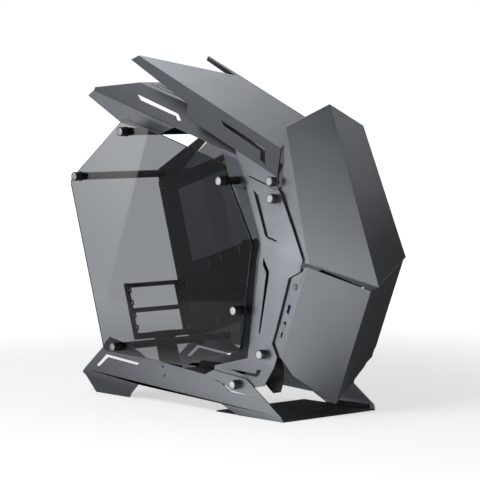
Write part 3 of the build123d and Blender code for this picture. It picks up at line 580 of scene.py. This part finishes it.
cards = {
    # middle, the way from the object to it, width and height; each ramp runs along (across, up) in metres;
    # the metal mirrors the pillar's card through the panes too
    "leftCard": {
        "middle": (-0.8987, 1.4191, 0.3100), "way": (-0.636, 0.770, -0.045), "size": (0.954, 0.60),
        "ramps": [
            {"along": (1.0, -0.257), "from": (0.231, 0.224), "strength": (0.0, 2.0)},
            {"along": (1.0, 0.0), "from": (0.02, 0.20), "strength": (0.35, 1.0)},
            {"along": (0.0, 1.0), "from": (-0.26, 0.10), "strength": (0.25, 1.0)},
        ],
    },
    "pillarCard": {
        "middle": (-1.4578, 0.9581, 0.3000), "way": (-0.636, 0.770, -0.045), "size": (0.495, 0.60),
        "ramps": [{"along": (0.0, 1.0), "from": (-0.30, 0.05), "strength": (6.2, 2.9)}],
        "throughPanes": True,
    },
    "topCard": {
        "middle": (0.15, 0.20, 1.10), "way": (0.10, 0.14, 0.985), "size": (1.10, 1.30),
        "ramps": [{"along": (-0.5, 0.85), "from": (-0.28, 0.22), "strength": (2.0, 0.35)}],
    },
    "frontCard": {
        "middle": (0.24, -1.25, 0.80), "way": (0.238, -0.814, 0.53), "size": (1.00, 0.80),
        "ramps": [{"along": (0.75, 0.66), "from": (0.14, -0.10), "strength": (0.0, 2.7)}],
    },
    "rightCard": {
        "middle": (0.62, -0.28, 0.56), "way": (0.933, -0.206, 0.295), "size": (0.70, 0.50),
        "ramps": [{"along": (0.0, 1.0), "from": (-0.16, 0.00), "strength": (0.0, 0.48)}],
    },
}


def makeCardMaterial(name, card):
    width, height = card["size"]
    material = bpy.data.materials.new(name)
    material.use_nodes = True
    tree = material.node_tree
    tree.nodes.clear()
    place = addNode(tree, "ShaderNodeTexCoord")
    centred = addNode(tree, "ShaderNodeVectorMath", operation="SUBTRACT")
    centred.inputs[1].default_value = (0.5, 0.5, 0.0)       # the card's middle on its UV map
    glow = addNode(tree, "ShaderNodeEmission", {"Color": (1, 1, 1, 1)})
    out = addNode(tree, "ShaderNodeOutputMaterial")
    link = tree.links.new
    link(place.outputs["UV"], centred.inputs[0])
    first, *others = [rampAlong(tree, centred.outputs[0], ramp, (width, height)) for ramp in card["ramps"]]
    for ramp in others:
        first = combine(tree, first, ramp)
    link(first, glow.inputs["Strength"])
    # only what mirrors the card shows it: a plain look through a pane goes on through the card too
    seen = addNode(tree, "ShaderNodeLightPath")
    mirrorRay = addNode(tree, "ShaderNodeMath", {1: 1.0}, operation="MINIMUM")
    clear = addNode(tree, "ShaderNodeBsdfTransparent")
    shown = addNode(tree, "ShaderNodeMixShader")
    link(seen.outputs["Glossy Depth"], mirrorRay.inputs[0])
    link(mirrorRay.outputs[0], shown.inputs[0])
    link(clear.outputs[0], shown.inputs[1])
    link(glow.outputs[0], shown.inputs[2])
    link(shown.outputs[0], out.inputs["Surface"])
    return material


def addCards():
    for name, card in cards.items():
        way = Vector(card["way"]).normalized()
        across = Vector((-way.y, way.x, 0)).normalized()
        up = way.cross(across)
        turn = Matrix((across, up, way)).transposed().to_4x4()
        deselectAll()
        bpy.ops.mesh.primitive_plane_add(size=1.0, calc_uvs=True)
        piece = bpy.context.object
        piece.name = name
        spread = Matrix.Diagonal((*card["size"], 1, 1))
        piece.matrix_world = Matrix.Translation(card["middle"]) @ turn @ spread
        applyPlace(piece)
        piece.data.materials.append(makeCardMaterial(name, card))
        piece.visible_camera = False
        piece.visible_transmission = card.get("throughPanes", False)
        piece.visible_diffuse = False
        piece.visible_shadow = False
    print("studio lit with", len(cards), "cards")


softBox = {"place": (-1.35, -0.35, 1.45), "aim": (0.05, 0.0, 0.1), "size": 0.9, "watts": 11.0}


def addSoftBox():
    # lights the paper from the upper left, so that the soft shadow lies on the right
    data = bpy.data.lights.new("softBox", "AREA")
    data.size = softBox["size"]
    data.energy = softBox["watts"]
    holder = bpy.data.objects.new("softBox", data)
    bpy.context.scene.collection.objects.link(holder)
    holder.location = softBox["place"]
    way = Vector(softBox["aim"]) - Vector(softBox["place"])
    holder.rotation_euler = way.to_track_quat("-Z", "Y").to_euler()
    holder.visible_camera = False
    holder.visible_glossy = False
    holder.visible_transmission = False


# Folded sheets, plates and rods: each is a merged copy of its solid with rounded, light-catching edges

dressed = {
    # node: finish, record slot, edge radius in mm
    "top_wing": ("panelMetal", "panel_metal", 0.45),
    "rear_wing": ("panelMetal", "panel_metal", 0.45),
    "front_upper_panel": ("panelMetal", "panel_metal", 0.45),
    "front_lower_panel": ("panelMetal", "panel_metal", 0.45),
    "left_pillar": ("frameMetal", "frame_metal", 0.40),
    "right_pillar": ("frameMetal", "frame_metal", 0.40),
    "left_rail": ("frameMetal", "frame_metal", 0.40),
    "right_rail": ("frameMetal", "frame_metal", 0.40),
    # the floor plate's near-black colour is painted shade: it lies in shade
    "floor_plate": ("blackMetalAndShade", "inner_metal", 0.35),
    "rear_floor": ("blackMetalAndShade", "inner_metal", 0.35),
    "motherboard_tray": ("blackMetalAndShade", "inner_metal", 0.35),
    "slot_bracket": ("blackMetalAndShade", "inner_metal", 0.30),
    "support_post": ("blackMetalAndShade", "inner_metal", 0.35),
    "front_bracket": ("blackMetalAndShade", "inner_metal", 0.35),
    # the wing brackets' near-black colour is painted shade, for the shaded wedge by the rear wing's leg
    "left_wing_bracket": ("blackMetalAndShade", "inner_metal", 0.35),
    "right_wing_bracket": ("blackMetalAndShade", "inner_metal", 0.35),
    "tie_rods": ("blackMetalAndShade", "inner_metal", 0.40),
    "front_posts": ("blackMetalAndShade", "inner_metal", 0.40),
    "left_glass": ("paneGlass", "pane_glass", 0.50),
    # the right pane's darker tint is painted shade
    "right_glass": ("paneGlassPaintedShade", "pane_glass", 0.50),
    "board_standoffs": ("standoffBrass", "standoff_brass", 0.25),
    "usb_a_socket": ("socketMetal", "socket_metal", 0.15),
    "usb_c_socket": ("socketMetal", "socket_metal", 0.15),
    "audio_socket": ("tongueBlack", "socket_metal", 0.20),
    "port_board": ("boardGreen", "board_green", 0.15),
    "button_switch": ("tongueBlack", "board_green", 0.20),
}

dressing = {
    "mergeDistance": 0.000004, "flatAngle": 0.4, "bevelAngle": 28.0, "smoothAngle": 32.0, "segments": 2,
    # their flat faces are split into triangles first, because the edge rounding breaks their many-sided ones
    "splitFirst": ["rear_wing", "rear_floor", "front_lower_panel"],
}


def mergedCopy(nodeName, pieceName):
    mesh = nodes[nodeName].data.copy()
    piece = bpy.data.objects.new(pieceName, mesh)
    bpy.context.scene.collection.objects.link(piece)
    pickUp(piece)
    if mesh.has_custom_normals:
        bpy.ops.mesh.customdata_custom_splitnormals_clear()
    bpy.ops.object.mode_set(mode="EDIT")
    bpy.ops.mesh.select_all(action="SELECT")
    bpy.ops.mesh.remove_doubles(threshold=dressing["mergeDistance"])
    bpy.ops.mesh.dissolve_limited(angle_limit=radians(dressing["flatAngle"]))
    if nodeName in dressing["splitFirst"]:
        bpy.ops.mesh.quads_convert_to_tris(quad_method="BEAUTY", ngon_method="BEAUTY")
    objectMode()
    return piece


def dressSolids():
    for nodeName, (finish, slot, radius) in dressed.items():
        piece = mergedCopy(nodeName, nodeName + "_dressed")
        addBevel(piece, radius * millimetre, dressing["segments"], dressing["bevelAngle"])
        smoothByAngle(piece, dressing["smoothAngle"])
        finishPiece(piece, materials[finish], replaced=[nodeName])
    print("solids dressed:", len(dressed))


# Thumb screws: a knurled head with a bright turned cap, modelled once and copied to each seat

def seatsOf(nodeName):
    # each round solid of the node as its outer centre, its outward axis, its radius, its bore and its depth
    piece = mergedCopy(nodeName, "seatProbe")
    shape = bmesh.new()
    shape.from_mesh(piece.data)
    shape.verts.index_update()
    corners = list(shape.verts)
    left = set(range(len(corners)))
    seats = []
    while left:
        island = set()
        reach = [min(left)]
        while reach:
            number = reach.pop()
            if number in island:
                continue
            island.add(number)
            reach.extend(edge.other_vert(corners[number]).index for edge in corners[number].link_edges)
        left -= island
        points = [corners[number].co for number in sorted(island)]
        middle = sum(points, Vector()) / len(points)
        faces = [face for face in shape.faces if face.verts[0].index in island]
        axis = max(faces, key=lambda face: face.calc_area()).normal.copy()
        if axis.x * middle.x < 0:
            axis = -axis
        depth = max((point - middle).dot(axis) for point in points) * 2
        reaches = [((point - middle) - axis * (point - middle).dot(axis)).length for point in points]
        seats.append({"centre": middle + axis * depth / 2, "axis": axis, "depth": depth,
                      "radius": max(reaches), "bore": min(reaches)})
    shape.free()
    bpy.data.objects.remove(piece)
    return sorted(seats, key=lambda seat: tuple(round(value, 4) for value in seat["centre"]))


screw = {
    "sides": 48, "headRadius": 7.0, "headLength": 11.0, "shankRadius": 2.5,
    "topCollar": 1.6, "footCollar": 2.2, "grooveDepth": 0.45, "grooveRim": 0.16,
    "topRound": 0.7, "roundSteps": 3,
}
roundAngle = 35.0       # degrees: what is turned or knurled is smooth below this, and the rest is sharp


def modelScrew(name, seat, shankLength):
    # the outer end of the head lies at the origin, and the shank runs down -Z
    radius = screw["headRadius"] * millimetre
    length = screw["headLength"] * millimetre
    deselectAll()
    bpy.ops.mesh.primitive_cylinder_add(vertices=screw["sides"], radius=radius, depth=length,
                                        location=(0, 0, -length / 2), end_fill_type="NGON")
    piece = bpy.context.object
    piece.name = name
    applyPlace(piece)
    upper = -screw["topCollar"] * millimetre
    lower = -length + screw["footCollar"] * millimetre
    editMode(piece)
    for level in (upper, lower):
        bpy.ops.mesh.select_all(action="SELECT")
        bpy.ops.mesh.bisect(plane_co=(0, 0, level), plane_no=(0, 0, 1))
    step = 2 * pi / screw["sides"]

    def inGroove(centre, normal):
        if abs(normal.z) > facing or not lower < centre.z < upper:
            return False
        turn = Vector((1, 0)).angle_signed(Vector((centre.x, centre.y)), 0)
        return int((turn + 4 * pi) / step) % 2 == 0

    selectFaces(piece, inGroove)
    bpy.ops.mesh.inset(thickness=screw["grooveRim"] * millimetre, depth=-screw["grooveDepth"] * millimetre,
                       use_individual=True)
    # the rim round the cap, then the seat that the cap fills
    selectFaces(piece, lambda centre, normal: normal.z > facing and centre.z > -samePlace)
    bpy.ops.mesh.inset(thickness=radius - seat["radius"])
    bpy.ops.mesh.extrude_region_move(TRANSFORM_OT_translate={"value": (0, 0, -seat["depth"])})
    # the shank
    selectFaces(piece, lambda centre, normal: normal.z < -facing and centre.z < -length + samePlace)
    bpy.ops.mesh.inset(thickness=radius - screw["shankRadius"] * millimetre)
    bpy.ops.mesh.extrude_region_move(TRANSFORM_OT_translate={"value": (0, 0, -shankLength)})
    # round the two outer rims of the head

    def onRim(a, b):
        outer = min(a.xy.length, b.xy.length) > radius * rimShare
        level = abs(a.z - b.z) < samePlace
        return outer and level and (a.z > -samePlace or a.z < -length + samePlace)

    selectEdges(piece, onRim)
    bpy.ops.mesh.bevel(offset=screw["topRound"] * millimetre, segments=screw["roundSteps"], affect="EDGES")
    bpy.ops.mesh.select_all(action="SELECT")
    bpy.ops.mesh.normals_make_consistent(inside=False)
    objectMode()
    return piece


cap = {
    "sides": 40, "dish": 0.25, "dishRadius": 0.62, "dishSlope": 0.3, "round": 0.25, "roundSteps": 2,
    "clearance": 0.02,
}


def modelCap(name, seat):
    radius = seat["radius"] - cap["clearance"] * millimetre
    deselectAll()
    bpy.ops.mesh.primitive_cylinder_add(vertices=cap["sides"], radius=radius, depth=seat["depth"],
                                        location=(0, 0, -seat["depth"] / 2), end_fill_type="NGON")
    piece = bpy.context.object
    piece.name = name
    applyPlace(piece)
    editMode(piece)
    selectFaces(piece, lambda centre, normal: normal.z > facing)
    bpy.ops.mesh.inset(thickness=radius * (1 - cap["dishRadius"]))
    bpy.ops.mesh.inset(thickness=cap["dishSlope"] * millimetre, depth=-cap["dish"] * millimetre)

    def onRim(a, b):
        return min(a.z, b.z) > -samePlace and min(a.xy.length, b.xy.length) > radius * rimShare

    selectEdges(piece, onRim)
    bpy.ops.mesh.bevel(offset=cap["round"] * millimetre, segments=cap["roundSteps"], affect="EDGES")
    objectMode()
    return piece


def copyToSeats(model, seats, pieceName):
    copies = []
    for seat in seats:
        mesh = model.data.copy()
        turn = seat["axis"].to_track_quat("Z", "X").to_matrix().to_4x4()
        mesh.transform(Matrix.Translation(seat["centre"]) @ turn)
        copy = bpy.data.objects.new(pieceName, mesh)
        bpy.context.scene.collection.objects.link(copy)
        copies.append(copy)
    bpy.data.objects.remove(model)      # it has the name that the joined piece gets
    return joinPieces(copies, pieceName)


screwSets = {
    # screws' node, caps' node, how far the shank runs past the head in mm, finish of the head
    "glass": ("glass_screws", "glass_screw_caps", 15.6, "screwBlack"),
    "frame": ("frame_screws", "frame_screw_caps", 9.0, "screwGrey"),
}


def buildScrews():
    for screwNode, capNode, shankLength, headFinish in screwSets.values():
        seats = seatsOf(capNode)
        model = modelScrew(screwNode + "_knurled", seats[0], shankLength * millimetre)
        screws = copyToSeats(model, seats, screwNode + "_knurled")
        smoothByAngle(screws, roundAngle)
        finishPiece(screws, materials[headFinish], replaced=[screwNode])
        model = modelCap(capNode + "_turned", seats[0])
        caps = copyToSeats(model, seats, capNode + "_turned")
        smoothByAngle(caps, roundAngle)
        finishPiece(caps, materials["capSteel"], replaced=[capNode])
        print(screwNode, "at", len(seats), "seats")


# Washers under the screw heads and behind the panes: soft black rings

washer = {"sides": 40, "round": 0.25, "roundSteps": 2}


def buildWashers():
    seats = seatsOf("glass_washers")
    seat = seats[0]
    deselectAll()
    bpy.ops.mesh.primitive_cylinder_add(vertices=washer["sides"], radius=seat["radius"], depth=seat["depth"],
                                        location=(0, 0, -seat["depth"] / 2), end_fill_type="NGON")
    model = bpy.context.object
    applyPlace(model)
    editMode(model)
    selectFaces(model, lambda centre, normal: abs(normal.z) > facing)
    bpy.ops.mesh.inset(thickness=seat["radius"] - seat["bore"])
    bpy.ops.mesh.bridge_edge_loops()

    def onRim(a, b):
        return abs(a.z - b.z) < samePlace and min(a.xy.length, b.xy.length) > seat["radius"] * rimShare

    selectEdges(model, onRim)
    bpy.ops.mesh.bevel(offset=washer["round"] * millimetre, segments=washer["roundSteps"], affect="EDGES")
    objectMode()
    rings = copyToSeats(model, seats, "glass_washers_round")
    smoothByAngle(rings, roundAngle)
    finishPiece(rings, materials["washerBlack"], replaced=["glass_washers"])
    print("washers at", len(seats), "seats")


# Power button: its face is bare metal like the flange, with a dark groove round its middle

button = {"edge": 0.3, "rim": 1.30, "groove": 0.95, "middle": 2.05, "grooveDepth": 0.5}


def buildButton():
    piece = mergedCopy("power_button", "power_button_dressed")
    addBevel(piece, button["edge"] * millimetre, dressing["segments"], dressing["bevelAngle"])
    low, high = [Vector(corner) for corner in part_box("power_button")]
    finishPiece(piece, materials["panelMetal"], body="button", replaced=["power_button"])
    piece.data.materials.append(materials["tongueBlack"])
    editMode(piece)
    middle = (low + high) / 2

    def onFace(centre, normal):
        return normal.x < -facing and centre.x < low.x + samePlace

    def inGroove(centre, normal):
        fromMiddle = (centre.yz - middle.yz).length / millimetre
        return onFace(centre, normal) and button["middle"] < fromMiddle < button["middle"] + button["groove"]

    selectFaces(piece, onFace)
    bpy.ops.mesh.inset(thickness=button["rim"] * millimetre)
    bpy.ops.mesh.inset(thickness=button["groove"] * millimetre)
    selectFaces(piece, inGroove)
    inwards = (button["grooveDepth"] * millimetre, 0, 0)
    bpy.ops.mesh.extrude_region_move(TRANSFORM_OT_translate={"value": inwards})
    piece.active_material_index = 1
    bpy.ops.object.material_slot_assign()
    objectMode()
    smoothByAngle(piece, dressing["smoothAngle"])
    print("button dressed")


# What shows in the mouths of the sockets: a tongue each, the wide one with contacts

tongues = {
    # sizes in mm: how thick and long, how far off the middle towards the front, how far inside the mouth
    "usb_a_tongue": {"socket": "usb_a_socket", "finish": "tongueBlue", "thick": 2.3, "long": 11.3,
                     "aside": 1.25, "inside": 0.9, "contacts": 4},
    "usb_c_tongue": {"socket": "usb_c_socket", "finish": "tongueBlack", "thick": 0.8, "long": 6.8,
                     "aside": 0.0, "inside": 1.4, "contacts": 0},
}
contact = {"wide": 1.0, "thick": 0.2, "long": 6.5, "pitch": 2.5, "setBack": 0.6, "edge": 0.06}
tongueEdge = 0.2        # mm
socketWall = 0.8        # mm, at the back of each socket


def addBlock(name, centre, half, axes, roundEdge):
    # a block along the three axes, with softened edges
    deselectAll()
    bpy.ops.mesh.primitive_cube_add(size=2.0)
    piece = bpy.context.object
    piece.name = name
    piece.matrix_world = (Matrix.Translation(centre) @ Matrix(axes).transposed().to_4x4()
                          @ Matrix.Diagonal((*half, 1)))
    applyPlace(piece)
    addBevel(piece, roundEdge * millimetre, dressing["segments"], dressing["bevelAngle"])
    return piece


def buildTongues():
    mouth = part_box("audio_socket")[0][0]        # the outer face of the flange
    middles = {name: (Vector(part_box(name)[0]) + Vector(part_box(name)[1])) / 2
               for name in ("usb_a_socket", "usb_c_socket")}
    out = Vector((-1, 0, 0))
    along = (middles["usb_c_socket"] - middles["usb_a_socket"]).normalized()
    aside = along.cross(out).normalized()
    if aside.y > 0:
        aside = -aside
    along = out.cross(aside)
    for name, tongue in tongues.items():
        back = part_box(tongue["socket"])[1][0] - socketWall * millimetre
        front = mouth + tongue["inside"] * millimetre
        centre = middles[tongue["socket"]] + aside * tongue["aside"] * millimetre
        centre.x = (front + back) / 2
        half = ((back - front) / 2, tongue["thick"] / 2 * millimetre, tongue["long"] / 2 * millimetre)
        piece = addBlock(name, centre, half, (out, aside, along), tongueEdge)
        smoothByAngle(piece, dressing["smoothAngle"])
        finishPiece(piece, materials[tongue["finish"]])
        bars = []
        for count in range(tongue["contacts"]):
            step = (count - (tongue["contacts"] - 1) / 2) * contact["pitch"] * millimetre
            spot = centre + along * step - aside * (tongue["thick"] + contact["thick"]) / 2 * millimetre
            spot.x = front + (contact["long"] / 2 + contact["setBack"]) * millimetre
            half = [contact[side] / 2 * millimetre for side in ("long", "thick", "wide")]
            bars.append(addBlock(name + "_bar", spot, half, (out, aside, along), contact["edge"]))
        if bars:
            finishPiece(joinPieces(bars, name + "_contacts"), materials["contactGold"])
    print("tongues in", len(tongues), "sockets")


addCamera()
makeMaterials()
addWorld()
addFloor()
addCards()
addSoftBox()
dressSolids()
buildScrews()
buildWashers()
buildButton()
buildTongues()

view = bpy.context.scene.view_settings
view.view_transform = "Standard"
view.look = "None"
